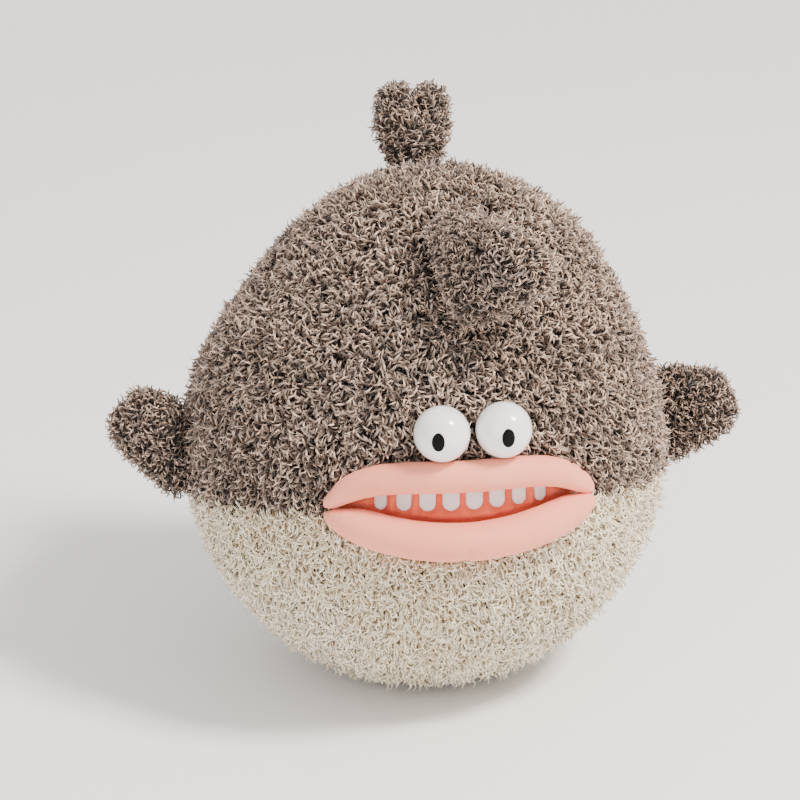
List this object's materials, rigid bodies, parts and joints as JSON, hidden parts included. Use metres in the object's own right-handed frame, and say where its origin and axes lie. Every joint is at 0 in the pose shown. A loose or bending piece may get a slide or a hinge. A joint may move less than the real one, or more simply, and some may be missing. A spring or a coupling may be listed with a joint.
{
  "type": "plush shark",
  "caption": "Round furry plush shark with a stuffed open mouth, felt teeth, glossy goggle eyes, side fins, a top fin and a two-lobed tail",
  "frame": {"origin": "middle of the flat patch of belly that the shark rests on", "axes": "-Z is down through the belly, the face looks to -Y, and +X is the shark's own left"},
  "size_m": [0.358, 0.2838, 0.3146],
  "materials": {
    "grey_fur": "matte",
    "cream_fur": "matte",
    "fibrefill": "matte",
    "lip_velour": "matte",
    "mouth_velvet": "matte",
    "tooth_felt": "matte",
    "eye_white": "gloss",
    "pupil_black": "gloss",
    "washer_plastic": "matte"
  },
  "bodies": {
    "body": {"back_panel_left": "grey_fur", "back_panel_right": "grey_fur", "belly_panel_left": "cream_fur", "belly_panel_right": "cream_fur", "body_stuffing": "fibrefill", "upper_lip_cover": "lip_velour", "upper_lip_stuffing": "fibrefill", "lower_lip_cover": "lip_velour", "lower_lip_stuffing": "fibrefill", "mouth_lining": "mouth_velvet", "teeth": "tooth_felt"},
    "left_fin": {"left_fin_cover": "grey_fur", "left_fin_stuffing": "fibrefill"},
    "right_fin": {"right_fin_cover": "grey_fur", "right_fin_stuffing": "fibrefill"},
    "top_fin": {"top_fin_cover": "grey_fur", "top_fin_stuffing": "fibrefill"},
    "tail": {"tail_cover": "grey_fur", "tail_stuffing": "fibrefill"},
    "left_eye": {"left_eyeball": "eye_white", "left_pupil": "pupil_black", "left_eye_washer": "washer_plastic"},
    "right_eye": {"right_eyeball": "eye_white", "right_pupil": "pupil_black", "right_eye_washer": "washer_plastic"}
  },
  "joints": [
    {"name": "left_fin_flap", "type": "hinge", "parent": "body", "child": "left_fin", "pos_m": [0.141, 0, 0.13705], "axis": [0, 0.2588, 0.9659], "range_deg": [-10, 45], "stiffness_Nm_per_rad": 0.05},
    {"name": "right_fin_flap", "type": "hinge", "parent": "body", "child": "right_fin", "pos_m": [-0.141, 0, 0.13705], "axis": [0, 0.2588, 0.9659], "range_deg": [-25, 25], "stiffness_Nm_per_rad": 0.05},
    {"name": "top_fin_flop", "type": "hinge", "parent": "body", "child": "top_fin", "pos_m": [0.00763, -0.0726, 0.25549], "axis": [-0.0905, 0.8613, 0.5], "range_deg": [-30, 6], "stiffness_Nm_per_rad": 0.08},
    {"name": "tail_bend", "type": "hinge", "parent": "body", "child": "tail", "pos_m": [0.00839, 0.07536, 0.27662], "axis": [0.9969, 0, -0.0785], "range_deg": [-30, 30], "stiffness_Nm_per_rad": 0.08},
    {"name": "left_eye_turn", "type": "hinge", "parent": "body", "child": "left_eye", "pos_m": [0.01666, -0.13003, 0.18362], "axis": [0.1173, -0.9157, 0.3843], "continuous": true},
    {"name": "right_eye_turn", "type": "hinge", "parent": "body", "child": "right_eye", "pos_m": [-0.01666, -0.13003, 0.18362], "axis": [-0.1173, -0.9157, 0.3843], "continuous": true}
  ]
}
